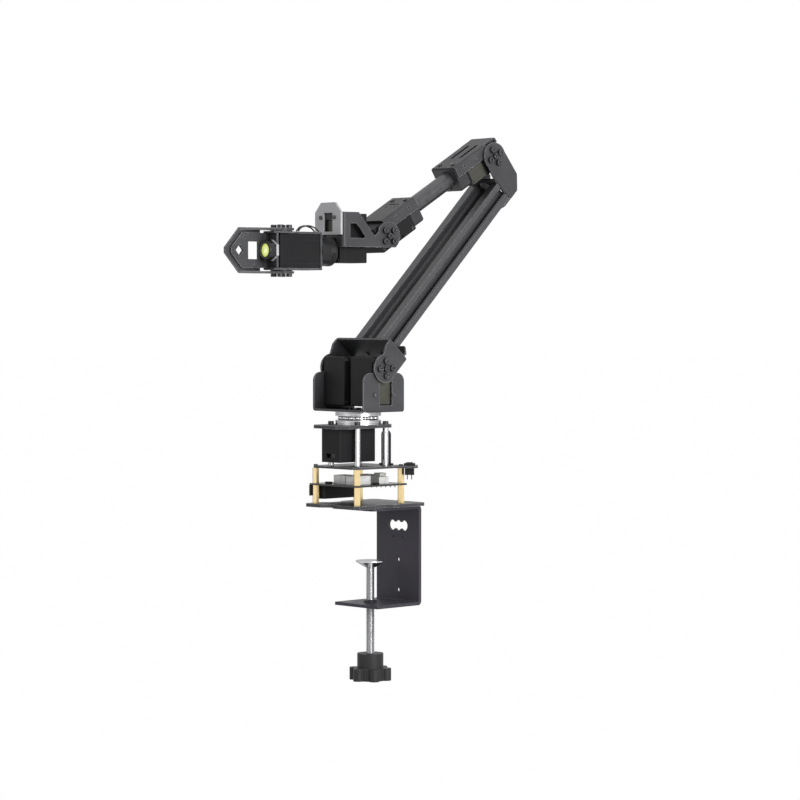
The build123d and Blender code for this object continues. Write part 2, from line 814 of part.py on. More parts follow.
def build_turret():
    nodes["turret_bracket"] = turret_place * turret_bracket()
    left = Pos(0, shoulder_spread, shoulder_height) * across_down
    right = Pos(0, -shoulder_spread, shoulder_height) * Rot(0, 0, 180) * across_down
    cases = [turret_place * spot * servo_case() for spot in (left, right)]
    nodes["shoulder_servo_cases"] = one_of(*cases)
    covers = [turret_place * spot * cover for spot in (left, right) for cover in servo_covers()]
    nodes["shoulder_servo_covers"] = one_of(*covers)
    motors = [turret_place * spot * servo_motor() for spot in (left, right)]
    nodes["shoulder_servo_motors"] = one_of(*motors)
    screws = []
    for side in (-1, 1):
        for x in (-1, 1):
            spot = Pos(x * servo_screw_half, side * wall_outside, shoulder_height - servo_screw_below)
            screws.append(turret_place * spot * Rot(-90 * side, 0, 0) * small_screw(sheet + side_gap))
    floor = Pos(0, 0, turret_floor + sheet)
    screws += [turret_place * floor * spot * small_screw(sheet + horn_thick) for spot in horn_spots()]
    nodes["turret_screws"] = one_of(*screws)
    nodes["turret_horn"] = turret_place * nodes["turret_horn"]
    nodes["bearing_upper_race"] = turret_place * nodes["bearing_upper_race"]


def yoke():
    """Bent yoke over both shoulder horns, its web under the foot of the profile."""
    outside = yoke_inside + sheet
    web_top = yoke_web_height + sheet
    depth = yoke_front + yoke_rear
    low = -ear_radius
    shell = u_sheet(depth / 2, outside, web_top - low, sheet, bend_inside)
    shell = Pos((yoke_front - yoke_rear) / 2, 0, web_top) * Rot(180, 0, 0) * shell
    outline = side_shape([(-yoke_rear, web_top), (yoke_front, web_top), (yoke_front, yoke_neck),
                          yoke_knee, (0, 0), (-ear_radius, 0), (-yoke_rear, yoke_heel)], outside)
    round_end = Rot(90, 0, 0) * rod(ear_radius, -outside, outside)
    shell = shell & (outline + round_end)
    for side in (-1, 1):
        shell = shell - Pos(0, side * (yoke_inside + sheet / 2), 0) * Rot(90, 0, 0) * horn_holes(
            -sheet, sheet)
    lug = block(-yoke_rear, -yoke_rear + sheet, -lug_half_width, lug_half_width, yoke_web_height,
                web_top + lug_height)
    ends = lug.edges().filter_by(Axis.X).group_by(Axis.Z)[-1]
    lug = chamfer(ends, lug_chamfer)
    shell = shell + lug
    for side in (-1, 1):
        hole = Pos(-yoke_rear, side * lug_screw_half, web_top + lug_screw_rise) * Rot(0, 90, 0)
        shell = shell - hole * rod(back_hole_radius, -sheet, sheet * 2)
        core = Pos(-core_back, side * core_half, yoke_web_height)
        shell = shell - core * rod(small_hole, 0, sheet)
    hole = Pos(-yoke_rear, 0, web_top + lug_height / 2) * Rot(0, 90, 0)
    return shell - hole * rod(screw_hole, -sheet, sheet * 2)


def profile_section():
    face = Rectangle(profile_depth, profile_width)
    trough = Pos(profile_depth / 2, 0) * RectangleRounded(trough_depth * 2, trough_width, trough_corner)
    face = face - trough
    half = slot_mouth / 2
    neck = slot_neck / 2
    mouth = make_face(Polyline([(0, -half), (slot_bevel, -neck), (slot_bevel, neck), (0, half)],
                               close=True))
    slot = mouth + Pos(slot_depth / 2, 0) * Rectangle(slot_depth, slot_neck)
    inner = slot_bevel + slot_lip
    chamber = Pos((slot_depth + inner) / 2, 0) * Rectangle(slot_depth - inner, slot_chamber)
    slot = slot + chamber
    face = face - Pos(0, -profile_width / 2) * Rot(0, 0, 90) * slot
    face = face - Pos(0, profile_width / 2) * Rot(0, 0, -90) * slot
    face = face - Pos(-profile_depth / 2, 0) * slot
    for side in (-1, 1):
        face = face - Pos(-core_back, side * core_half) * Circle(core_radius)
    return face


def elbow_bracket():
    """Bent bracket on the head of the profile, with an ear on each side of the elbow servo."""
    floor = upper_reach - elbow_web_drop - sheet
    front = elbow_web_front
    rear = yoke_rear
    height = ear_radius + elbow_web_drop + sheet
    reach = elbow_offset + ear_radius
    shell = u_sheet((reach + rear) / 2, ear_outside, height, sheet, bend_inside)
    shell = Pos((reach - rear) / 2, 0, floor) * shell
    axis_z = upper_reach
    outline = side_shape([(-rear, floor), (front, floor),
                          (elbow_offset + elbow_throat[0], axis_z - elbow_throat[1]),
                          (elbow_offset, axis_z),
                          (elbow_offset - elbow_brow[0], axis_z + elbow_brow[1]),
                          (-rear + elbow_crown[0], axis_z + elbow_crown[1]),
                          (-rear, axis_z - elbow_nape)], ear_outside)
    round_end = Pos(elbow_offset, 0, axis_z) * Rot(90, 0, 0) * rod(ear_radius, -ear_outside, ear_outside)
    shell = shell & (outline + round_end)
    shell = shell - block(front, reach, -ear_inside, ear_inside, floor, floor + sheet + bend_inside)
    shell = shell - Pos(grommet_forward, 0, floor) * rod(grommet_radius, 0, sheet)
    for side in (-1, 1):
        ear = Pos(elbow_offset, side * (ear_inside + sheet / 2), axis_z) * Rot(0, elbow_horn_turn, 0)
        shell = shell - ear * Rot(90, 0, 0) * horn_holes(-sheet, sheet)
        shell = shell - Pos(-core_back, side * core_half, floor) * rod(small_hole, 0, sheet)
        opening = Pos(-side_opening_back, side * side_opening_half, floor)
        shell = shell - opening * Box(*side_opening, sheet * 4)
    lug = block(-rear, -rear + sheet, -profile_width / 2, profile_width / 2, floor - lug_height,
                floor + sheet)
    ends = lug.edges().filter_by(Axis.X).group_by(Axis.Z)[0]
    lug = chamfer(ends, elbow_lug_chamfer)
    shell = shell + lug
    hole = Pos(-rear, 0, floor - lug_height / 2) * Rot(0, 90, 0)
    return shell - hole * rod(screw_hole, -sheet, sheet * 2)


def build_upper_arm():
    nodes["shoulder_yoke"] = upper_place * yoke()
    foot = yoke_web_height + sheet
    head = upper_reach - elbow_web_drop - sheet
    profile = Pos(0, 0, foot) * extrude(profile_section(), head - foot)
    nodes["upper_arm_profile"] = upper_place * profile
    nodes["elbow_bracket"] = upper_place * elbow_bracket()
    screws = []
    for side in (-1, 1):
        outside = side * (yoke_inside + sheet)
        turned = Rot(-90 * side, 0, 0)
        for spot in horn_spots():
            screws.append(Pos(0, outside, 0) * turned * spot * cap_screw(sheet + horn_thick))
            screws.append(Pos(elbow_offset, side * ear_outside, upper_reach) * Rot(0, elbow_horn_turn, 0)
                          * turned * spot * cap_screw(sheet + horn_thick))
        core = Pos(-core_back, side * core_half, 0)
        screws.append(core * Pos(0, 0, yoke_web_height) * Rot(180, 0, 0)
                      * small_screw(sheet + core_screw_bite))
        screws.append(core * Pos(0, 0, head + sheet) * small_screw(sheet + core_screw_bite))
    for level in (foot + lug_height / 2, head - lug_height / 2):
        screws.append(Pos(-yoke_rear, 0, level) * Rot(0, -90, 0) * cap_screw(sheet + slot_bevel))
    nodes["upper_arm_screws"] = one_of(*[upper_place * screw for screw in screws])
    turned = elbow_place * Rot(0, elbow_horn_turn, 0) * across
    nodes["elbow_horns"] = one_of(turned * output_horn(), turned * idler_horn())
    left = Pos(0, shoulder_spread, 0) * across
    right = Pos(0, -shoulder_spread, 0) * Rot(0, 0, 180) * across
    horns = [upper_place * spot * output_horn() for spot in (left, right)]
    nodes["shoulder_horns"] = one_of(*horns)


def channel():
    """Channel over a servo, from its shaft at x = 0 forward: a web and a short wall down each side."""
    shell = u_sheet((channel_end - channel_start) / 2, channel_side, channel_wall + sheet, sheet,
                    bend_inside)
    shell = Pos((channel_start + channel_end) / 2, 0, channel_top) * Rot(180, 0, 0) * shell
    shell = shell - Rot(90, 0, 0) * rod(horn_radius + horn_clear, -channel_side, channel_side)
    for side in (-1, 1):
        hole = Pos(clamp_block_middle, side * clamp_screw_half, channel_top)
        shell = shell - hole * rod(small_hole, -sheet, 0)
    for x in wall_screw_places:
        hole = Pos(x, 0, channel_top - wall_screw_drop) * Rot(90, 0, 0)
        shell = shell - hole * rod(wall_screw_radius + running_fit, -channel_side, channel_side)
    return shell


def tube_clamp():
    """Split block behind a servo's tail that grips the end of the tube."""
    half = servo_half_depth
    start = clamp_block_middle - clamp_block_long / 2
    end = clamp_block_middle + clamp_block_long / 2
    high = channel_top - sheet
    solid = block(start, end, -half, half, -clamp_block_low, high)
    solid = chamfer(solid.edges().filter_by(Axis.X), clamp_block_chamfer)
    bore = Pos(clamp_block_middle, 0, tube_rise) * Rot(0, 90, 0)
    solid = solid - bore * rod(tube_radius + tube_fit, -clamp_block_long, clamp_block_long)
    solid = solid - block(start, end, -clamp_slit / 2, clamp_slit / 2, -clamp_block_low, tube_rise)
    for side in (-1, 1):
        drilled = Pos(clamp_block_middle, side * clamp_screw_half, high)
        solid = solid - drilled * rod(small_shank_radius, -clamp_screw_bite, 0)
    return solid


def channel_screws():
    """Screws down into the clamp block, and flush ones through both walls."""
    screws = []
    for side in (-1, 1):
        spot = Pos(clamp_block_middle, side * clamp_screw_half, channel_top)
        screws.append(spot * small_screw(sheet + clamp_screw_bite))
        for x in wall_screw_places:
            spot = Pos(x, side * channel_side, channel_top - wall_screw_drop) * Rot(-90 * side, 0, 0)
            screws.append(spot * rod(wall_screw_radius, -sheet - side_gap, wall_screw_proud))
    return screws


def elbow_channel():
    """Channel with two long slots, and a hood bent down over the elbow servo's head."""
    shell = channel()
    side = channel_side - sheet
    outer = block(-hood_back, channel_start + bend_inside, -side, side, channel_top - hood_drop, channel_top)
    inner = block(-hood_back + sheet, channel_start + bend_inside, -side, side, channel_top - hood_drop,
                  channel_top - sheet)
    crown = outer.edges().filter_by(Axis.Y).group_by(Axis.Z)[-1].sort_by(Axis.X)[0]
    under = inner.edges().filter_by(Axis.Y).group_by(Axis.Z)[-1].sort_by(Axis.X)[0]
    shell = shell + (fillet(crown, sheet + hood_bend) - fillet(under, hood_bend))
    for side in (-1, 1):
        slot = Pos(web_slot_place, side * web_slot_half, channel_top) * Box(*web_slot, sheet * 4)
        shell = shell - fillet(slot.edges().filter_by(Axis.Z), web_slot_corner)
    return shell


def wrist_channel():
    shell = channel()
    for step in (-1, 0, 1):
        hole = Pos(web_hole_place, step * web_hole_pitch, channel_top)
        shell = shell - hole * rod(web_hole_radius, -sheet * 2, sheet)
    return shell - Pos(cable_slot_place, 0, channel_top) * Box(*cable_slot, sheet * 4)


def build_forearm():
    back = forearm_place
    front = forearm_place * Pos(forearm_reach, 0, 0) * Rot(0, 0, 180)
    nodes["elbow_channel"] = back * elbow_channel()
    nodes["wrist_channel"] = front * wrist_channel()
    nodes["tube_clamps"] = one_of(back * tube_clamp(), front * tube_clamp())
    nodes["forearm_screws"] = one_of(*[end * screw for end in (back, front) for screw in channel_screws()])
    start = clamp_block_middle - clamp_block_long / 2 + tube_end_gap
    tube_length = forearm_reach - start * 2
    tube = rod(tube_radius, 0, tube_length) - rod(tube_radius - tube_wall, 0, tube_length)
    nodes["forearm_tube"] = forearm_place * Pos(start, 0, tube_rise) * Rot(0, 90, 0) * tube
    elbow_servo = forearm_place * Rot(0, 180, 0) * across
    wrist_servo = forearm_place * Pos(forearm_reach, 0, 0) * across
    cases = [elbow_servo * servo_case(), wrist_servo * servo_case()]
    nodes["forearm_servo_cases"] = one_of(*cases)
    covers = [place * cover for place in (elbow_servo, wrist_servo) for cover in servo_covers()]
    nodes["forearm_servo_covers"] = one_of(*covers)
    nodes["forearm_servo_motors"] = one_of(elbow_servo * servo_motor(), wrist_servo * servo_motor())


def wrist_bracket():
    """Side plates from the pitch horns forward, joined by the front web."""
    low = -wrist_plate_low
    high = wrist_plate_top
    shell = u_sheet((high - low) / 2, ear_outside, wrist_front + ear_radius, sheet, bend_inside)
    shell = Pos(wrist_front, 0, (high + low) / 2) * Rot(0, -90, 0) * shell
    outline = side_shape([(wrist_front, high), (wrist_cut_front, high), wrist_notch, (0, ear_radius),
                          (-ear_radius, 0), (0, low), (wrist_front, low)], ear_outside)
    round_end = Rot(90, 0, 0) * rod(ear_radius, -ear_outside, ear_outside)
    shell = shell & (outline + round_end)
    window = side_shape(wrist_window, ear_outside)
    shell = shell - fillet(window.edges().filter_by(Axis.Y), wrist_window_corner)
    edge = servo_half_width - wrist_opening_edge
    shell = shell - block(wrist_front - wrist_opening_deep, wrist_front, -edge, edge,
                          -servo_half_width - sheet, servo_half_width + wrist_opening_edge)
    for side in (-1, 1):
        ear = Pos(0, side * (ear_inside + sheet / 2), 0) * Rot(90, 0, 0)
        shell = shell - ear * horn_holes(-sheet, sheet)
    for side in (-1, 1):
        hole = Pos(wrist_front - sheet, side * face_plate_screw_half, face_plate_screw_high)
        shell = shell - hole * Rot(0, 90, 0) * rod(small_hole, -sheet, sheet * 2)
    return shell


def face_plate():
    half = face_plate_half
    cut = face_plate_cut
    points = [(face_plate_low, -half), (face_plate_top - cut, -half), (face_plate_top, cut - half),
              (face_plate_top, half - cut), (face_plate_top - cut, half), (face_plate_low, half)]
    plate = Pos(wrist_front, 0, 0) * Rot(0, -90, 0) * flat_shape(points, -sheet, 0)
    wide, high = face_plate_window
    plate = plate - block(wrist_front, wrist_front + sheet, -wide / 2, wide / 2,
                          face_plate_middle - high / 2, face_plate_middle + high / 2)
    for side in (-1, 1):
        hole = Pos(wrist_front, side * face_plate_screw_half, face_plate_screw_high) * Rot(0, 90, 0)
        plate = plate - hole * rod(small_hole, 0, sheet)
    shaft = Pos(wrist_front, 0, -gripper_drop) * Rot(0, 90, 0)
    return plate - shaft * rod(horn_radius + horn_clear, 0, sheet)


def build_wrist():
    nodes["wrist_bracket"] = wrist_place * wrist_bracket()
    nodes["wrist_face_plate"] = wrist_place * face_plate()
    turned = wrist_place * across
    nodes["wrist_horns"] = one_of(turned * output_horn(), turned * idler_horn())
    centre = wrist_front - sheet - side_gap - servo_half_depth
    roll = wrist_place * Pos(centre, 0, -gripper_drop) * Rot(0, 90, 0)
    nodes["roll_servo_case"] = roll * servo_case()
    nodes["roll_servo_covers"] = one_of(*[roll * cover for cover in servo_covers()])
    nodes["roll_servo_motor"] = roll * servo_motor()
    screws = []
    for side in (-1, 1):
        turned = Pos(0, side * ear_outside, 0) * Rot(-90 * side, 0, 0)
        screws += [turned * spot * cap_screw(sheet + horn_thick) for spot in horn_spots()]
        spot = Pos(wrist_front + sheet, side * face_plate_screw_half, face_plate_screw_high)
        screws.append(spot * Rot(0, 90, 0) * small_screw(sheet * 2))
    nodes["wrist_screws"] = one_of(*[wrist_place * screw for screw in screws])


def finger(shoulder, tip, half, start, y0, y1):
    """Pointed plate upright between y0 and y1, with the window and the diamond in it."""
    nose = finger_nose
    outline = side_shape([(start, -half), (shoulder, -half), (tip, -nose), (tip, nose),
                          (shoulder, half), (start, half)], finger_sheet * 4)
    plate = outline & block(start, tip, y0, y1, -half, half)
    left, right, high = finger_window
    plate = plate - block(left, right, y0, y1, -high, high)
    middle, long, tall = finger_diamond
    diamond = side_shape([(middle - long, 0), (middle, -tall), (middle + long, 0), (middle, tall)],
                         finger_sheet * 4)
    plate = plate - diamond
    for x, z in finger_holes:
        hole = Pos(x, 0, z) * Rot(90, 0, 0)
        plate = plate - hole * rod(finger_hole_radius, -finger_sheet * 4, finger_sheet * 4)
    return plate


def fixed_jaw():
    """Sheet frame round the gripper servo, with the near finger and the lamp plate."""
    rear = gripper_reach - servo_tail - side_gap
    low = servo_half_depth + side_gap
    high = low + fixed_sheet
    side = servo_half_width
    back = block(rear - fixed_sheet, rear, -side, side, -high, high)
    jaw = back
    for sign in (-1, 1):
        z0, z1 = sorted((sign * low, sign * high))
        flange = block(rear - fixed_sheet, gripper_reach + servo_shaft_end, -side, side, z0, z1)
        front = block(gripper_reach, fixed_flange_front, finger_gap, fixed_flange_reach, z0, z1)
        jaw = jaw + flange + front
        jaw = jaw - Pos(gripper_reach, 0, 0) * rod(horn_radius + horn_clear, z0, z1)
    web = finger(finger_shoulder, finger_tip, finger_half, finger_start, finger_gap,
                 finger_gap + finger_sheet)
    web_side = finger_gap + finger_sheet
    tie = block(finger_start, fixed_flange_front, finger_gap, web_side + fixed_sheet, -high, high)
    plate = block(finger_start, finger_start + fixed_sheet, finger_gap, fixed_flange_reach, -high, high)
    jaw = jaw + web + tie + plate
    bolt = Pos(finger_start, lamp_side, 0) * Rot(0, 90, 0)
    jaw = jaw - bolt * rod(lamp_bolt_radius + fit_play, -fixed_sheet, fixed_sheet * 2)
    for angle in (45, 135, 225, 315):
        hole = Pos(rear, 0, 0) * Rot(angle, 0, 0) * Pos(0, horn_screw_circle / 2, 0) * Rot(0, 90, 0)
        jaw = jaw - hole * rod(small_hole, -fixed_sheet * 2, fixed_sheet)
    return jaw


def moving_jaw():
    """Far jaw: an ear on each gripper horn and a wider pointed plate."""
    low = horn_face
    high = horn_face + sheet
    gap = finger_gap
    jaw = finger(jaw_shoulder, finger_reach, high, jaw_web_start, -gap - finger_sheet, -gap)
    for sign in (-1, 1):
        z0, z1 = sorted((sign * low, sign * high))
        ear = Pos(gripper_reach, 0, 0) * rod(jaw_ear_radius, z0, z1)
        arm = flat_shape([(gripper_reach, -jaw_arm_side), (jaw_arm_front, -jaw_arm_side),
                          (jaw_shoulder, -gap - finger_sheet), (jaw_shoulder, -gap),
                          (gripper_reach, jaw_arm_side)], z0, z1)
        jaw = jaw + ear + arm
        jaw = jaw - Pos(gripper_reach, 0, 0) * horn_holes(z0, z1)
    return jaw


def lamp_parts():
    plate = finger_start + fixed_sheet
    place = Pos(0, lamp_side, 0) * Rot(0, 90, 0)
    body = rod(lamp_radius, plate + lamp_collar_thick, lamp_face)
    rim = body.edges().group_by(Axis.Z)[-1]
    body = fillet(rim, lamp_edge)
    body = body - rod(lamp_lens_radius, lamp_face - lamp_lens_depth, lamp_face)
    collar = hexagon(lamp_collar_across, plate, plate + lamp_collar_thick)
    bolt = rod(lamp_bolt_radius, plate - fixed_sheet, plate)
    nodes["lamp_housing"] = gripper_place * place * (body + collar + bolt)
    lens = rod(lamp_lens_radius, lamp_face - lamp_lens_depth, lamp_face - lamp_lens_depth / 2)
    nodes["lamp_lens"] = gripper_place * place * lens


def lead_path(side):
    """Route of one lead, from the top of the servo's tail back and down to the hub."""
    tail = gripper_reach - servo_tail
    high = servo_half_depth + side_gap + fixed_sheet + lead_radius + lead_gap
    y = side * lead_pitch / 2
    return [(tail + 17.0, y, high), (tail + 13.5, y, high + 3.6), (tail + 6.5, y * 1.6, high + 5.2),
            (tail - 1.5, y * 2.0, high + 3.0), (tail - 6.5, y * 2.2, high - 2.2),
            (tail - 7.6, y * 2.2, hub_radius + 0.9)]


def build_leads():
    leads = []
    for side in (-1, 1):
        points = [Vector(*point) for point in lead_path(side)]
        radii = []
        for before, here, after in zip(points, points[1:], points[2:]):
            turn = (here - before).get_angle(after - here)
            shorter = min((here - before).length, (after - here).length)
            radii.append(0.45 * shorter / math.tan(math.radians(turn) / 2))
        print("lead bend radii", [round(radius, 1) for radius in radii])
        line = FilletPolyline(*points, radius=radii)
        section = Plane(origin=points[0], z_dir=points[1] - points[0]) * Circle(lead_radius)
        lead = sweep(section, path=line)
        print("lead volume", round(lead.volume, 2), "section times length",
              round(math.pi * lead_radius ** 2 * line.length, 2))
        leads.append(gripper_place * lead)
    nodes["gripper_leads"] = one_of(*leads)


def build_gripper():
    centre = wrist_front - sheet - side_gap - servo_half_depth
    roll = gripper_place * Pos(centre, 0, 0) * Rot(0, 90, 0)
    hub = rod(hub_radius, 0, hub_length) - rod(servo_shaft, 0, hub_length)
    for place in hub_groove_places:
        hub = hub - Pos(0, 0, place) * Torus(hub_radius, hub_groove)
    hub_solid = gripper_place * Pos(horn_front, 0, 0) * Rot(0, 90, 0) * hub
    nodes["roll_horn"] = one_of(roll * output_horn(), hub_solid)
    servo = gripper_place * Pos(gripper_reach, 0, 0)
    nodes["gripper_servo_case"] = servo * servo_case()
    nodes["gripper_servo_covers"] = one_of(*[servo * cover for cover in servo_covers()])
    nodes["gripper_servo_motor"] = servo * servo_motor()
    nodes["gripper_horns"] = one_of(servo * output_horn(), servo * idler_horn())
    nodes["fixed_jaw"] = gripper_place * fixed_jaw()
    nodes["moving_jaw"] = gripper_place * moving_jaw()
    screws = []
    for sign in (-1, 1):
        turned = Pos(gripper_reach, 0, sign * ear_outside) * Rot(0 if sign == 1 else 180, 0, 0)
        screws += [turned * spot * cap_screw(sheet + horn_thick) for spot in horn_spots()]
    nodes["jaw_screws"] = one_of(*[gripper_place * screw for screw in screws])
    lamp_parts()
    build_leads()


def write_parts():
    os.makedirs("parts", exist_ok=True)
    for name, shape in nodes.items():
        export_step(shape, os.path.join("parts", name + ".step"))
    print(len(nodes), "nodes")


build_base()
clamp_parts()
switch_parts()
build_bearing()
build_turret()
build_upper_arm()
build_forearm()
build_wrist()
build_gripper()
write_parts()
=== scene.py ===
import math
import bmesh
import bpy
from mathutils import Matrix, Vector


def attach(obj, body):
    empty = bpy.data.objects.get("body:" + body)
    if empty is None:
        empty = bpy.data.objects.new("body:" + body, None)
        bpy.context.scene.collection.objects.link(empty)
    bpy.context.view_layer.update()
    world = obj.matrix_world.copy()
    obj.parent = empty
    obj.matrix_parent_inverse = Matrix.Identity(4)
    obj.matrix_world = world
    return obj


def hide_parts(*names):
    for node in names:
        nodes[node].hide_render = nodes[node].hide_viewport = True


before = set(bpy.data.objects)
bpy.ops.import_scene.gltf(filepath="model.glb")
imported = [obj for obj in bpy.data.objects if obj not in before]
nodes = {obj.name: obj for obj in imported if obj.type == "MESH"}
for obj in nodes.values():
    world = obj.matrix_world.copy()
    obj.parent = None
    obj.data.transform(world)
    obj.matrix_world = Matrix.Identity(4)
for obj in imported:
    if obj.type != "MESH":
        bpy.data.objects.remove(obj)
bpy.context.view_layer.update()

scene = bpy.context.scene
mm = 0.001

# places of the arm's joints and servos, as the CAD has them
pose = {"yaw": -5.5, "lean": 43.6, "drop": 31.2, "shoulderHigh": 0.128, "upperReach": 0.246,
        "elbowOffset": 0.030, "forearmReach": 0.1495, "gripperDrop": 0.0148, "gripperReach": 0.1075,
        "baseServoHigh": 0.0575, "shoulderServoSide": 0.0205, "rollServoOut": 0.0352}


def turn(degrees, axis):
    return Matrix.Rotation(math.radians(degrees), 4, axis)


def shift(x, y, z):
    return Matrix.Translation((x, y, z))


def aimed(place, look):
    return Matrix.Translation(place) @ look.to_track_quat("-Z", "Y").to_matrix().to_4x4()


turretPlace = turn(pose["yaw"], "Z")
shoulderPlace = turretPlace @ shift(0, 0, pose["shoulderHigh"])
upperPlace = shoulderPlace @ turn(-pose["lean"], "Y")
elbowPlace = upperPlace @ shift(pose["elbowOffset"], 0, pose["upperReach"])
forearmPlace = elbowPlace @ turn(pose["lean"] + pose["drop"], "Y")
wristPlace = forearmPlace @ shift(pose["forearmReach"], 0, 0) @ turn(-pose["drop"], "Y")
gripperPlace = wristPlace @ shift(0, 0, -pose["gripperDrop"])
across = turn(-90, "X")

# camera where the photograph was taken from
view = {"place": (1.7532, 1.8658, 0.1797), "azimuth": 44.08, "pitch": 1.82, "lens": 124.97,
        "sensor": 36.0, "farthest": 60.0}


def addCamera():
    data = bpy.data.cameras.new("photoCamera")
    data.lens = view["lens"]
    data.sensor_width = view["sensor"]
    data.clip_end = view["farthest"]
    cam = bpy.data.objects.new("photoCamera", data)
    scene.collection.objects.link(cam)
    az = math.radians(view["azimuth"])
    tilt = math.radians(view["pitch"])
    look = Vector((-math.sin(az) * math.cos(tilt), -math.cos(az) * math.cos(tilt), -math.sin(tilt)))
    cam.matrix_world = aimed(view["place"], look)
    scene.camera = cam


addCamera()
print("camera set")


# node helpers
def newMaterial(name):
    mat = bpy.data.materials.new(name)
    mat.use_nodes = True
    tree = mat.node_tree
    return mat, tree, tree.nodes["Principled BSDF"]


def addNode(tree, kind, **values):
    node = tree.nodes.new(kind)
    for key, value in values.items():
        setattr(node, key, value)
    return node


def mathNode(tree, operation, first, second=None):
    node = addNode(tree, "ShaderNodeMath", operation=operation)
    for socket, value in zip(node.inputs, (first, second)):
        if value is None:
            continue
        if isinstance(value, (int, float)):
            socket.default_value = value
        else:
            tree.links.new(value, socket)
    return node.outputs[0]


def objectSpot(tree, place=None, stretch=(1, 1, 1)):
    coord = addNode(tree, "ShaderNodeTexCoord")
    spot = coord.outputs["Object"]
    if place is not None:
        turned = addNode(tree, "ShaderNodeMapping", vector_type="POINT")
        back = place.inverted()
        turned.inputs["Rotation"].default_value = back.to_euler()
        turned.inputs["Location"].default_value = back.to_translation()
        tree.links.new(spot, turned.inputs["Vector"])
        spot = turned.outputs["Vector"]
    scaled = addNode(tree, "ShaderNodeMapping", vector_type="POINT")
    scaled.inputs["Scale"].default_value = stretch
    tree.links.new(spot, scaled.inputs["Vector"])
    return scaled.outputs["Vector"]


def splitSpot(tree, spot):
    parts = addNode(tree, "ShaderNodeSeparateXYZ")
    tree.links.new(spot, parts.inputs[0])
    return parts.outputs


def noise(tree, vector, scale, detail=3.0):
    node = addNode(tree, "ShaderNodeTexNoise")
    node.inputs["Scale"].default_value = scale
    node.inputs["Detail"].default_value = detail
    tree.links.new(vector, node.inputs["Vector"])
    return node.outputs["Fac"]


def ramp(tree, factor, stops):
    node = addNode(tree, "ShaderNodeValToRGB")
    for point, (where, colour) in zip(node.color_ramp.elements, stops):
        point.position = where
        point.color = (*colour, 1.0)
    tree.links.new(factor, node.inputs["Fac"])
    return node.outputs["Color"]


def ranged(tree, value, low, high, fromLow=0.3, fromHigh=0.7):
    node = addNode(tree, "ShaderNodeMapRange")
    node.inputs["From Min"].default_value = fromLow
    node.inputs["From Max"].default_value = fromHigh
    node.inputs["To Min"].default_value = low
    node.inputs["To Max"].default_value = high
    tree.links.new(value, node.inputs["Value"])
    return node.outputs["Result"]


def towards(tree, colour, other, factor):
    blend = addNode(tree, "ShaderNodeMix", data_type="RGBA")
    tree.links.new(factor, blend.inputs["Factor"])
    tree.links.new(colour, blend.inputs["A"])
    blend.inputs["B"].default_value = (*other, 1.0)
    return blend.outputs["Result"]


# what all finishes share: the mix of two grains, and where the painted edge highlight, the painted rim shade
# and the painted corner shade begin and are full
common = {"broadShare": 0.65, "fineShare": 0.35, "fineDetail": 4.0, "darkAt": 0.32, "lightAt": 0.68,
          "edgeSamples": 6, "edgeFull": 0.75, "edgeNone": 0.985, "edgeFaint": 0.55,
          "facingBlend": 0.5, "rimNone": 0.25, "rimFull": 0.95,
          "shadeSamples": 4, "shadeFull": 0.25, "shadeNone": 0.80, "shadeTone": 0.25,
          "reliefDeep": 0.0002}


def addRelief(tree, shader, height, strength, normal=None):
    relief = addNode(tree, "ShaderNodeBump")
    relief.inputs["Strength"].default_value = strength
    relief.inputs["Distance"].default_value = common["reliefDeep"]
    tree.links.new(height, relief.inputs["Height"])
    if normal is not None:
        tree.links.new(normal, relief.inputs["Normal"])
    tree.links.new(relief.outputs["Normal"], shader.inputs["Normal"])


def edgeHighlightMask(tree, radius):
    # painted highlight: 1 on an edge, where the colour is lightened to stand in for light catching it, 0 on
    # the flats
    bevel = addNode(tree, "ShaderNodeBevel", samples=common["edgeSamples"])
    bevel.inputs["Radius"].default_value = radius
    shape = addNode(tree, "ShaderNodeNewGeometry")
    dot = addNode(tree, "ShaderNodeVectorMath", operation="DOT_PRODUCT")
    tree.links.new(bevel.outputs["Normal"], dot.inputs[0])
    tree.links.new(shape.outputs["Normal"], dot.inputs[1])
    mask = ranged(tree, dot.outputs["Value"], 1.0, 0.0, common["edgeFull"], common["edgeNone"])
    return mask, bevel.outputs["Normal"]


def facing(tree):
    weight = addNode(tree, "ShaderNodeLayerWeight")
    weight.inputs["Blend"].default_value = common["facingBlend"]
    return weight.outputs["Facing"]


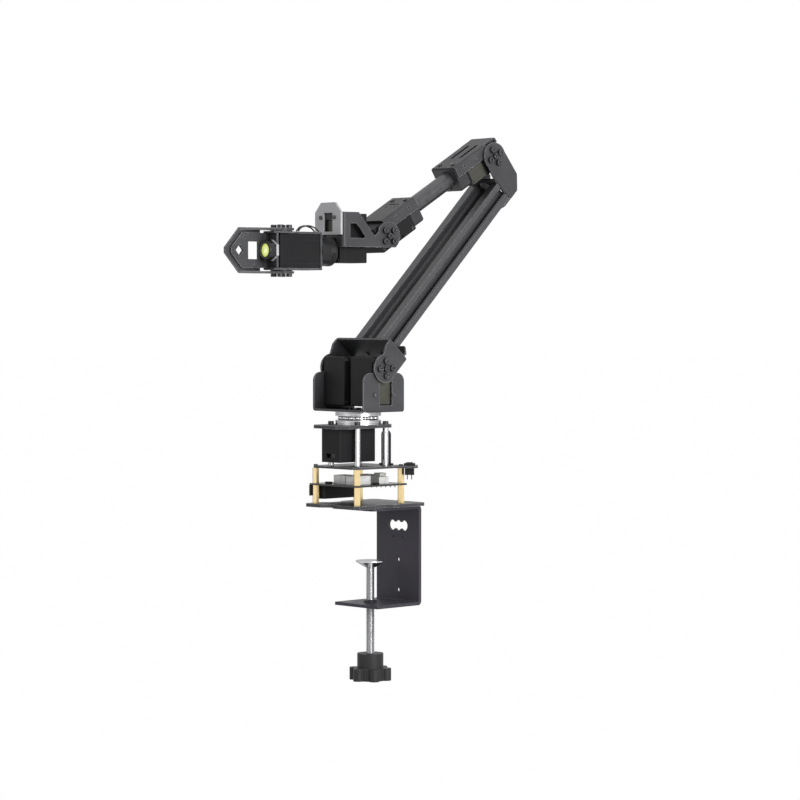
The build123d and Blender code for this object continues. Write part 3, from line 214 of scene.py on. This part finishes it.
def surface(name, dark, light, rough, metal=0.0, grain=900.0, bump=0.05, blotch=40.0, edgeHighlightColour=None,
            edgeSize=0.35, place=None, stretch=(1, 1, 1), specular=0.5, paintedRimShade=None, paintedShadeReach=0.0):
    c = common
    mat, tree, shader = newMaterial(name)
    spot = objectSpot(tree, place, stretch)
    broad = noise(tree, spot, blotch)
    fine = noise(tree, spot, grain, c["fineDetail"])
    mixed = mathNode(tree, "ADD", mathNode(tree, "MULTIPLY", broad, c["broadShare"]),
                     mathNode(tree, "MULTIPLY", fine, c["fineShare"]))
    colour = ramp(tree, mixed, [(c["darkAt"], dark), (c["lightAt"], light)])
    rounded = None
    if edgeHighlightColour is not None:
        # painted highlight: edges lightened towards a bright colour, broken up by the broad noise
        mask, rounded = edgeHighlightMask(tree, edgeSize * mm)
        paintedEdgeHighlight = mathNode(tree, "MULTIPLY", mask, ranged(tree, broad, c["edgeFaint"], 1.0))
        colour = towards(tree, colour, edgeHighlightColour, paintedEdgeHighlight)
    if paintedRimShade is not None:
        # painted shade: curved metal darkened towards its grazing rims, standing in for dark reflections
        rimShadeAmount = ranged(tree, facing(tree), 0.0, 1.0, c["rimNone"], c["rimFull"])
        colour = towards(tree, colour, paintedRimShade, rimShadeAmount)
    if paintedShadeReach:
        # painted shade: corners and troughs darkened by ambient occlusion
        shade = addNode(tree, "ShaderNodeAmbientOcclusion", samples=c["shadeSamples"])
        shade.inputs["Distance"].default_value = paintedShadeReach
        deep = ranged(tree, shade.outputs["AO"], 1.0, 0.0, c["shadeFull"], c["shadeNone"])
        colour = towards(tree, colour, tuple(c["shadeTone"] * value for value in dark), deep)
    tree.links.new(colour, shader.inputs["Base Color"])
    tree.links.new(ranged(tree, mixed, rough[0], rough[1]), shader.inputs["Roughness"])
    shader.inputs["Metallic"].default_value = metal
    shader.inputs["Specular IOR Level"].default_value = specular
    addRelief(tree, shader, fine, bump, rounded)
    return mat


# edgeSize in millimetres, the painted-shade reach in metres, grain and blotch as noise scales
finishValues = {
    "blackSheet": {"dark": (0.046, 0.046, 0.050), "light": (0.062, 0.062, 0.067), "rough": (0.34, 0.46),
                   "metal": 0.1, "edgeHighlightColour": (0.85, 0.85, 0.87), "edgeSize": 0.45, "specular": 0.15,
                   "paintedShadeReach": 0.03},
    "clampSheet": {"dark": (0.036, 0.033, 0.043), "light": (0.046, 0.043, 0.055), "rough": (0.42, 0.55),
                   "edgeHighlightColour": (0.14, 0.14, 0.15), "specular": 0.2},
    "profile": {"dark": (0.052, 0.052, 0.056), "light": (0.064, 0.064, 0.069), "rough": (0.32, 0.36),
                "metal": 0.2, "grain": 500.0, "bump": 0.01, "blotch": 160.0, "edgeHighlightColour": (0.60, 0.60, 0.62),
                "edgeSize": 0.3, "place": upperPlace, "stretch": (1, 1, 0.02), "specular": 0.4,
                "paintedShadeReach": 0.02},
    "block": {"dark": (0.018, 0.018, 0.020), "light": (0.030, 0.030, 0.033), "rough": (0.38, 0.52),
              "metal": 0.3, "edgeHighlightColour": (0.12, 0.12, 0.13)},
    "servoPlastic": {"dark": (0.008, 0.008, 0.009), "light": (0.012, 0.012, 0.013), "rough": (0.42, 0.58),
                     "grain": 2600.0, "bump": 0.12, "edgeHighlightColour": (0.055, 0.055, 0.058), "edgeSize": 0.3,
                     "specular": 0.12},
    "horn": {"dark": (0.009, 0.009, 0.010), "light": (0.015, 0.015, 0.016), "rough": (0.30, 0.42),
             "edgeHighlightColour": (0.16, 0.16, 0.17), "edgeSize": 0.2, "specular": 0.3},
    "blackSteel": {"dark": (0.016, 0.016, 0.018), "light": (0.034, 0.034, 0.037), "rough": (0.25, 0.40),
                   "metal": 0.4, "edgeHighlightColour": (0.75, 0.75, 0.77), "edgeSize": 0.25},
    "blackPlastic": {"dark": (0.008, 0.008, 0.009), "light": (0.014, 0.014, 0.015), "rough": (0.40, 0.55),
                     "grain": 1800.0, "bump": 0.10, "edgeHighlightColour": (0.05, 0.05, 0.053), "edgeSize": 0.25,
                     "specular": 0.15},
    "knobPlastic": {"dark": (0.013, 0.013, 0.014), "light": (0.020, 0.020, 0.021), "rough": (0.42, 0.60),
                    "grain": 1400.0, "bump": 0.25, "edgeHighlightColour": (0.13, 0.13, 0.14), "edgeSize": 0.5,
                    "specular": 0.25},
    "brightSteel": {"dark": (0.54, 0.54, 0.56), "light": (0.62, 0.62, 0.64), "rough": (0.24, 0.30),
                    "metal": 1.0, "bump": 0.01, "blotch": 60.0, "paintedRimShade": (0.16, 0.16, 0.17)},
    "threadSteel": {"dark": (0.46, 0.46, 0.47), "light": (0.56, 0.56, 0.57), "rough": (0.26, 0.34),
                    "metal": 1.0, "bump": 0.02, "paintedRimShade": (0.12, 0.12, 0.13)},
    "bareAluminium": {"dark": (0.36, 0.36, 0.375), "light": (0.43, 0.43, 0.445), "rough": (0.42, 0.56),
                      "metal": 0.1, "edgeHighlightColour": (0.74, 0.74, 0.76)},
    "brass": {"dark": (0.84, 0.65, 0.33), "light": (0.91, 0.72, 0.40), "rough": (0.20, 0.28),
              "metal": 0.85, "bump": 0.01, "blotch": 60.0, "paintedRimShade": (0.26, 0.16, 0.05)},
    "leadRubber": {"dark": (0.010, 0.010, 0.010), "light": (0.018, 0.018, 0.018), "rough": (0.45, 0.60)},
    "canSteel": {"dark": (0.50, 0.51, 0.50), "light": (0.64, 0.65, 0.64), "rough": (0.34, 0.48),
                 "metal": 0.3, "blotch": 260.0, "edgeHighlightColour": (0.62, 0.62, 0.62), "edgeSize": 0.2},
    "whitePlastic": {"dark": (0.62, 0.62, 0.59), "light": (0.74, 0.74, 0.71), "rough": (0.42, 0.55)},
    "labelOlive": {"dark": (0.020, 0.021, 0.014), "light": (0.038, 0.038, 0.026), "rough": (0.34, 0.48),
                   "grain": 700.0, "blotch": 240.0},
    "lampBody": {"dark": (0.010, 0.010, 0.010), "light": (0.016, 0.016, 0.016), "rough": (0.25, 0.38),
                 "metal": 0.2, "edgeHighlightColour": (0.10, 0.10, 0.10), "edgeSize": 0.3},
}
finishes = {name: surface(name, **values) for name, values in finishValues.items()}

lampNut = {"end": 0.1276, "colour": (0.42, 0.42, 0.44)}


def addLampNut():
    # the nut behind the lamp's body is bare metal
    tree = finishes["lampBody"].node_tree
    shader = tree.nodes["Principled BSDF"]
    parts = splitSpot(tree, objectSpot(tree, gripperPlace))
    nut = mathNode(tree, "LESS_THAN", parts["X"], lampNut["end"])
    body = shader.inputs["Base Color"].links[0].from_socket
    tree.links.new(towards(tree, body, lampNut["colour"], nut), shader.inputs["Base Color"])


boardLook = {"scale": 260.0, "gap": 0.06, "first": (0.008, 0.010, 0.009), "second": (0.012, 0.014, 0.012),
             "track": (0.030, 0.034, 0.026), "cloud": 300.0, "rough": (0.22, 0.38)}


def boardMaterial():
    look = boardLook
    mat, tree, shader = newMaterial("circuitBoard")
    spot = objectSpot(tree)
    tracks = addNode(tree, "ShaderNodeTexBrick")
    tracks.inputs["Scale"].default_value = look["scale"]
    tracks.inputs["Mortar Size"].default_value = look["gap"]
    tracks.inputs["Color1"].default_value = (*look["first"], 1)
    tracks.inputs["Color2"].default_value = (*look["second"], 1)
    tracks.inputs["Mortar"].default_value = (*look["track"], 1)
    tree.links.new(spot, tracks.inputs["Vector"])
    tree.links.new(tracks.outputs["Color"], shader.inputs["Base Color"])
    tree.links.new(ranged(tree, noise(tree, spot, look["cloud"]), *look["rough"]), shader.inputs["Roughness"])
    return mat


carbonLook = {"cell": 0.0006, "radius": 0.008, "tubeHigh": 0.0016, "stepRows": 0.25, "stepShare": 0.45,
              "cloud": 220.0, "stepTone": 0.22, "cloudTone": 0.8, "rough": 0.36, "coat": 0.35,
              "metal": 0.3, "bump": 0.15,
              "tones": [(0.25, (0.022, 0.022, 0.024)), (0.85, (0.072, 0.072, 0.077))]}


def carbonMaterial():
    # woven twill laid round the tube: two tones that step one cell a row
    look = carbonLook
    mat, tree, shader = newMaterial("carbonTwill")
    spot = objectSpot(tree, forearmPlace)
    parts = splitSpot(tree, spot)
    lifted = mathNode(tree, "SUBTRACT", parts["Z"], look["tubeHigh"])
    angle = mathNode(tree, "ARCTAN2", parts["Y"], lifted)
    u = mathNode(tree, "MULTIPLY", angle, look["radius"] / look["cell"])
    v = mathNode(tree, "MULTIPLY", parts["X"], 1.0 / look["cell"])
    row = mathNode(tree, "ADD", mathNode(tree, "FLOOR", u), mathNode(tree, "FLOOR", v))
    part = mathNode(tree, "FRACT", mathNode(tree, "MULTIPLY", row, look["stepRows"]))
    step = mathNode(tree, "LESS_THAN", part, look["stepShare"])
    cloud = noise(tree, spot, look["cloud"])
    tone = mathNode(tree, "ADD", mathNode(tree, "MULTIPLY", step, look["stepTone"]),
                    mathNode(tree, "MULTIPLY", cloud, look["cloudTone"]))
    tree.links.new(ramp(tree, tone, look["tones"]), shader.inputs["Base Color"])
    shader.inputs["Roughness"].default_value = look["rough"]
    shader.inputs["Coat Weight"].default_value = look["coat"]
    shader.inputs["Metallic"].default_value = look["metal"]
    addRelief(tree, shader, step, look["bump"])
    return mat


lensLook = {"middle": (0.1340, 0.0120, 0), "reach": 170.0, "rings": 9000.0, "bump": 0.3,
            "tones": [(0.15, (0.90, 0.95, 0.50)), (0.95, (0.58, 0.66, 0.10))],
            "glow": 0.45, "rough": 0.2}


def lensMaterial():
    # yellow lens with rings, brighter in the middle
    look = lensLook
    mat, tree, shader = newMaterial("lampLens")
    parts = splitSpot(tree, objectSpot(tree, gripperPlace @ shift(*look["middle"])))
    flat = addNode(tree, "ShaderNodeCombineXYZ")
    tree.links.new(parts["Y"], flat.inputs["X"])
    tree.links.new(parts["Z"], flat.inputs["Y"])
    far = addNode(tree, "ShaderNodeVectorMath", operation="LENGTH")
    tree.links.new(flat.outputs[0], far.inputs[0])
    colour = ramp(tree, mathNode(tree, "MULTIPLY", far.outputs["Value"], look["reach"]), look["tones"])
    tree.links.new(colour, shader.inputs["Base Color"])
    tree.links.new(colour, shader.inputs["Emission Color"])
    shader.inputs["Emission Strength"].default_value = look["glow"]
    shader.inputs["Roughness"].default_value = look["rough"]
    rings = mathNode(tree, "SINE", mathNode(tree, "MULTIPLY", far.outputs["Value"], look["rings"]))
    addRelief(tree, shader, rings, look["bump"])
    return mat


addLampNut()
finishes["board"] = boardMaterial()
finishes["carbon"] = carbonMaterial()
finishes["lens"] = lensMaterial()

nodeFinish = {
    "antenna": "blackPlastic", "base_fasteners": "blackSteel", "base_plate": "blackSheet",
    "base_servo_motor": "blackSteel", "bearing_balls": "brightSteel", "bearing_lower_race": "brightSteel",
    "bearing_upper_race": "brightSteel", "board_components": "canSteel", "brass_standoffs": "brass",
    "clamp_bracket": "clampSheet", "clamp_knob": "knobPlastic", "clamp_pad": "brightSteel",
    "clamp_screw": "brightSteel", "controller_board": "board", "fixed_jaw": "blackSheet",
    "forearm_tube": "carbon", "gripper_leads": "leadRubber", "lamp_housing": "lampBody",
    "lamp_lens": "lens", "power_module": "blackPlastic", "power_switch_housing": "blackPlastic",
    "power_switch_rocker": "blackPlastic", "silver_standoffs": "brightSteel", "tube_clamps": "block",
    "turret_horn": "brightSteel", "upper_arm_profile": "profile", "wrist_face_plate": "bareAluminium",
}
# the other nodes go by a word in their name, and the rest is black sheet
wordFinish = [("servo_case", "servoPlastic"), ("servo_cover", "servoPlastic"), ("motor", "blackSteel"),
              ("screws", "blackSteel"), ("horn", "horn")]


def finishOf(name):
    if name in nodeFinish:
        return nodeFinish[name]
    for word, finish in wordFinish:
        if word in name:
            return finish
    return "blackSheet"


def dressNodes():
    for name, obj in nodes.items():
        if not obj.material_slots:
            obj.data.materials.append(None)
        for slot in obj.material_slots:
            slot.link = "OBJECT"
            slot.material = finishes[finishOf(name)]


dressNodes()
print("nodes dressed")


# mesh helpers
def finishMesh(name, mesh, finish, body, bevel=0.0):
    mesh.normal_update()
    data = bpy.data.meshes.new(name)
    mesh.to_mesh(data)
    mesh.free()
    data.materials.append(finishes[finish])
    obj = bpy.data.objects.new(name, data)
    scene.collection.objects.link(obj)
    if bevel:
        rounding = obj.modifiers.new("rounding", "BEVEL")
        rounding.width = bevel
        rounding.segments = 2
        rounding.limit_method = "ANGLE"
    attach(obj, body)
    return obj


def addBlock(mesh, place, size):
    bmesh.ops.create_cube(mesh, size=1.0, matrix=place @ Matrix.Diagonal((*size, 1.0)))


thread = {"radius": 0.0040, "pitch": 0.00125, "depth": 0.00062, "low": -0.1600, "neck": -0.0545,
          "tip": -0.0532, "tipRadius": 0.0030, "sides": 40, "stepsPerTurn": 6, "fadeRows": 6,
          "back": -0.0152}


def addRing(mesh, radii, z):
    ring = []
    for side, r in enumerate(radii):
        a = 2 * math.pi * side / thread["sides"]
        ring.append(mesh.verts.new((thread["back"] + r * math.cos(a), r * math.sin(a), z)))
    return ring


def threadRadius(side, z, fade):
    t = thread
    phase = (z / t["pitch"] - side / t["sides"]) % 1.0
    cut = t["depth"] * (1 - abs(phase * 2 - 1))
    return t["radius"] - cut * fade


def addThread():
    # rod with a cut thread that fades out at both ends, and the small tip that carries the pad
    t = thread
    mesh = bmesh.new()
    sides = range(t["sides"])
    count = int((t["neck"] - t["low"]) / t["pitch"] * t["stepsPerTurn"])
    rows = []
    for row in range(count + 1):
        z = t["low"] + (t["neck"] - t["low"]) * row / count
        fade = min(1.0, row / t["fadeRows"], (count - row) / t["fadeRows"])
        rows.append(addRing(mesh, [threadRadius(side, z, fade) for side in sides], z))
    for z in (t["neck"], t["tip"]):
        rows.append(addRing(mesh, [t["tipRadius"]] * t["sides"], z))
    for low, high in zip(rows, rows[1:]):
        for side in sides:
            near = (side + 1) % t["sides"]
            mesh.faces.new((low[side], low[near], high[near], high[side]))
    mesh.faces.new(list(reversed(rows[0])))
    mesh.faces.new(rows[-1])
    rod = finishMesh("threadedRod", mesh, "threadSteel", "clamp_screw")
    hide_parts("clamp_screw")


addThread()
print("thread cut")

# each servo's body and place, its axle along the place's Z
servos = {
    "base": ("base", shift(0, 0, pose["baseServoHigh"]) @ turn(180, "Z")),
    "shoulderLeft": ("turret", shoulderPlace @ shift(0, pose["shoulderServoSide"], 0)
                     @ turn(-90, "Y") @ across),
    "shoulderRight": ("turret", shoulderPlace @ shift(0, -pose["shoulderServoSide"], 0)
                      @ turn(180, "Z") @ turn(-90, "Y") @ across),
    "elbow": ("forearm", forearmPlace @ turn(180, "Y") @ across),
    "pitch": ("forearm", forearmPlace @ shift(pose["forearmReach"], 0, 0) @ across),
    "roll": ("wrist", wristPlace @ shift(pose["rollServoOut"], 0, -pose["gripperDrop"]) @ turn(90, "Y")),
    "grip": ("gripper", gripperPlace @ shift(pose["gripperReach"], 0, 0)),
}
coverScrews = {"tail": 0.0349, "head": 0.0103, "half": 0.01235, "deep": 0.0155, "inset": 0.0029,
               "radius": 0.0014, "proud": 0.00015, "sunk": 0.0004, "sides": 6}
# bare patches where labels sit: the middle on the servo, and the size
labels = {"elbow": ((-0.0235, -0.0035, 0.01555), (0.0180, 0.0165, 0.0002)),
          "shoulderLeft": ((-0.0225, -0.0020, 0.01555), (0.0200, 0.0135, 0.0002)),
          "roll": ((-0.0200, 0.0, 0.01555), (0.0170, 0.0170, 0.0002))}


def addCoverScrews(name, body, place):
    # four small screws on each of the servo's two covers
    s = coverScrews
    mesh = bmesh.new()
    for side in (-1, 1):
        for x in (-s["tail"] + s["inset"], s["head"] - s["inset"]):
            for y in (-s["half"] + s["inset"], s["half"] - s["inset"]):
                spot = place @ shift(x, y, side * (s["deep"] + s["proud"] / 2 - s["sunk"] / 2))
                bmesh.ops.create_cone(mesh, cap_ends=True, segments=s["sides"], radius1=s["radius"],
                                      radius2=s["radius"], depth=s["proud"] + s["sunk"], matrix=spot)
    screws = finishMesh(name + "CornerScrews", mesh, "blackSteel", body)


def addLabels():
    for name, (spot, size) in labels.items():
        body, place = servos[name]
        mesh = bmesh.new()
        addBlock(mesh, place @ shift(*spot), size)
        label = finishMesh(name + "Label", mesh, "labelOlive", body)


for servoName, (servoBody, servoPlace) in servos.items():
    addCoverScrews(servoName, servoBody, servoPlace)
addLabels()
print("servos detailed")

# in millimetres, parts as x, y, width, depth, height; the terminal and the pins hang under the board
boardParts = {
    "top": 21.6, "under": 20.0,
    "cans": [(13.0, -4.0, 14.0, 16.0, 8.0), (14.0, 15.0, 20.0, 12.0, 8.0), (-10.0, 17.0, 12.0, 14.0, 6.5)],
    "canFoot": 0.8, "canRound": 0.3,
    "sockets": [(-23.0, -12.0, 8.0, 12.0, 7.0), (-22.0, 6.0, 8.0, 8.0, 9.0)],
    "socketWall": 1.2, "socketFloor": 2.0, "socketRound": 0.2,
    "contactStep": 2.0, "contactFoot": 1.0, "contactWide": 0.6, "contactHigh": 5.0,
    "chips": [(-0.5, -16.0, 7.0, 8.0, 3.0), (-6.0, -4.0, 8.0, 8.0, 1.4), (-8.0, -22.0, 5.0, 4.0, 1.2),
              (2.0, 26.0, 5.0, 4.0, 1.6), (26.0, -12.0, 4.0, 6.0, 2.0)],
    "chipRound": 0.2, "terminal": (29.0, -31.5, 6.2, 1.4, 10.0),
    "pinFirst": (-24.0, 24.0), "pinStep": (4.0, -2.0), "pins": 6, "pinWide": 0.8, "pinHigh": 2.2,
}


def addBoardBlock(mesh, x, y, foot, size):
    spot = shift(x * mm, y * mm, (foot + size[2] / 2) * mm)
    addBlock(mesh, spot, [value * mm for value in size])


def addCans(mesh):
    b = boardParts
    for x, y, wide, deep, high in b["cans"]:
        addBoardBlock(mesh, x, y, b["top"], (wide, deep, high))
        addBoardBlock(mesh, x, y, b["top"], (wide + b["canFoot"], deep + b["canFoot"], b["canFoot"]))


def addSockets(mesh, pins):
    b = boardParts
    wall = b["socketWall"]
    contact = (b["contactWide"], b["contactWide"], b["contactHigh"])
    for x, y, wide, deep, high in b["sockets"]:
        inWide, inDeep = wide - 2 * wall, deep - 2 * wall
        for side in (-1, 1):
            addBoardBlock(mesh, x + side * (wide / 2 - wall / 2), y, b["top"], (wall, deep, high))
            addBoardBlock(mesh, x, y + side * (deep / 2 - wall / 2), b["top"], (inWide, wall, high))
        addBoardBlock(mesh, x, y, b["top"], (inWide, inDeep, b["socketFloor"]))
        for step in (-1, 0, 1):
            addBoardBlock(pins, x, y + step * b["contactStep"], b["top"] + b["contactFoot"], contact)


def addPins(mesh):
    b = boardParts
    for index in range(b["pins"]):
        x = b["pinFirst"][0] + b["pinStep"][0] * index
        y = b["pinFirst"][1] + b["pinStep"][1] * index
        addBoardBlock(mesh, x, y, b["under"] - b["pinHigh"], (b["pinWide"], b["pinWide"], b["pinHigh"]))


def addChips(mesh):
    b = boardParts
    for x, y, wide, deep, high in b["chips"]:
        addBoardBlock(mesh, x, y, b["top"], (wide, deep, high))
    x, y, wide, deep, high = b["terminal"]
    addBoardBlock(mesh, x, y, b["under"] - high, (wide, deep, high))


def dressBoard():
    b = boardParts
    cans, sockets, pins, chips = bmesh.new(), bmesh.new(), bmesh.new(), bmesh.new()
    addCans(cans)
    addSockets(sockets, pins)
    addPins(pins)
    addChips(chips)
    pieces = [finishMesh("boardCans", cans, "canSteel", "base", b["canRound"] * mm),
              finishMesh("boardSockets", sockets, "whitePlastic", "base", b["socketRound"] * mm),
              finishMesh("boardPins", pins, "brightSteel", "base"),
              finishMesh("boardChips", chips, "blackPlastic", "base", b["chipRound"] * mm)]
    for piece in pieces:
        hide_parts("board_components")


dressBoard()
print("board dressed")

# floor, backdrop and light
stage = {"floorHigh": -0.1624, "floorSize": 30.0, "floorColour": (0.93, 0.93, 0.93), "floorRough": 0.9,
         "whiteShare": 0.996, "worldLight": 0.18}
lamps = {
    "keyLight": {"place": (0.5, 3.1, 0.80), "aim": (0.0, 0.0, 0.15), "size": 1.8, "power": 120.0},
    "topLight": {"place": (-0.2, 0.3, 2.6), "aim": (0.0, 0.0, 0.1), "size": 2.0, "power": 7.0},
    "sideLight": {"place": (2.8, -0.6, 1.0), "aim": (0.0, 0.0, 0.15), "size": 1.4, "power": 16.0},
}


def whiteRay(tree):
    # rays that should see plain white: from the camera, mirrored, or through something clear
    light = addNode(tree, "ShaderNodeLightPath")
    seen = mathNode(tree, "MAXIMUM", light.outputs["Is Camera Ray"], light.outputs["Is Glossy Ray"])
    return mathNode(tree, "MAXIMUM", seen, light.outputs["Is Transmission Ray"])


def addFloor():
    half = stage["floorSize"] / 2
    z = stage["floorHigh"]
    corners = [(-half, -half, z), (half, -half, z), (half, half, z), (-half, half, z)]
    mesh = bpy.data.meshes.new("floor")
    mesh.from_pydata(corners, [], [(0, 1, 2, 3)])
    floor = bpy.data.objects.new("floor", mesh)
    scene.collection.objects.link(floor)
    mat, tree, shader = newMaterial("floor")
    shader.inputs["Base Color"].default_value = (*stage["floorColour"], 1.0)
    shader.inputs["Roughness"].default_value = stage["floorRough"]
    glow = addNode(tree, "ShaderNodeEmission")
    mix = addNode(tree, "ShaderNodeMixShader")
    tree.links.new(mathNode(tree, "MULTIPLY", whiteRay(tree), stage["whiteShare"]), mix.inputs["Fac"])
    tree.links.new(shader.outputs[0], mix.inputs[1])
    tree.links.new(glow.outputs[0], mix.inputs[2])
    tree.links.new(mix.outputs[0], tree.nodes["Material Output"].inputs["Surface"])
    mesh.materials.append(mat)


def addWorld():
    world = bpy.data.worlds.new("studio")
    scene.world = world
    world.use_nodes = True
    tree = world.node_tree
    back = tree.nodes["Background"]
    back.inputs["Color"].default_value = (1, 1, 1, 1)
    strength = mathNode(tree, "MULTIPLY", whiteRay(tree), 1.0 - stage["worldLight"])
    tree.links.new(mathNode(tree, "ADD", strength, stage["worldLight"]), back.inputs["Strength"])


def addLamps():
    for name, values in lamps.items():
        data = bpy.data.lights.new(name, "AREA")
        data.shape = "SQUARE"
        data.size = values["size"]
        data.energy = values["power"]
        lamp = bpy.data.objects.new(name, data)
        scene.collection.objects.link(lamp)
        lamp.matrix_world = aimed(values["place"], Vector(values["aim"]) - Vector(values["place"]))


addFloor()
addWorld()
addLamps()
scene.view_settings.view_transform = "Standard"
print("stage lit")
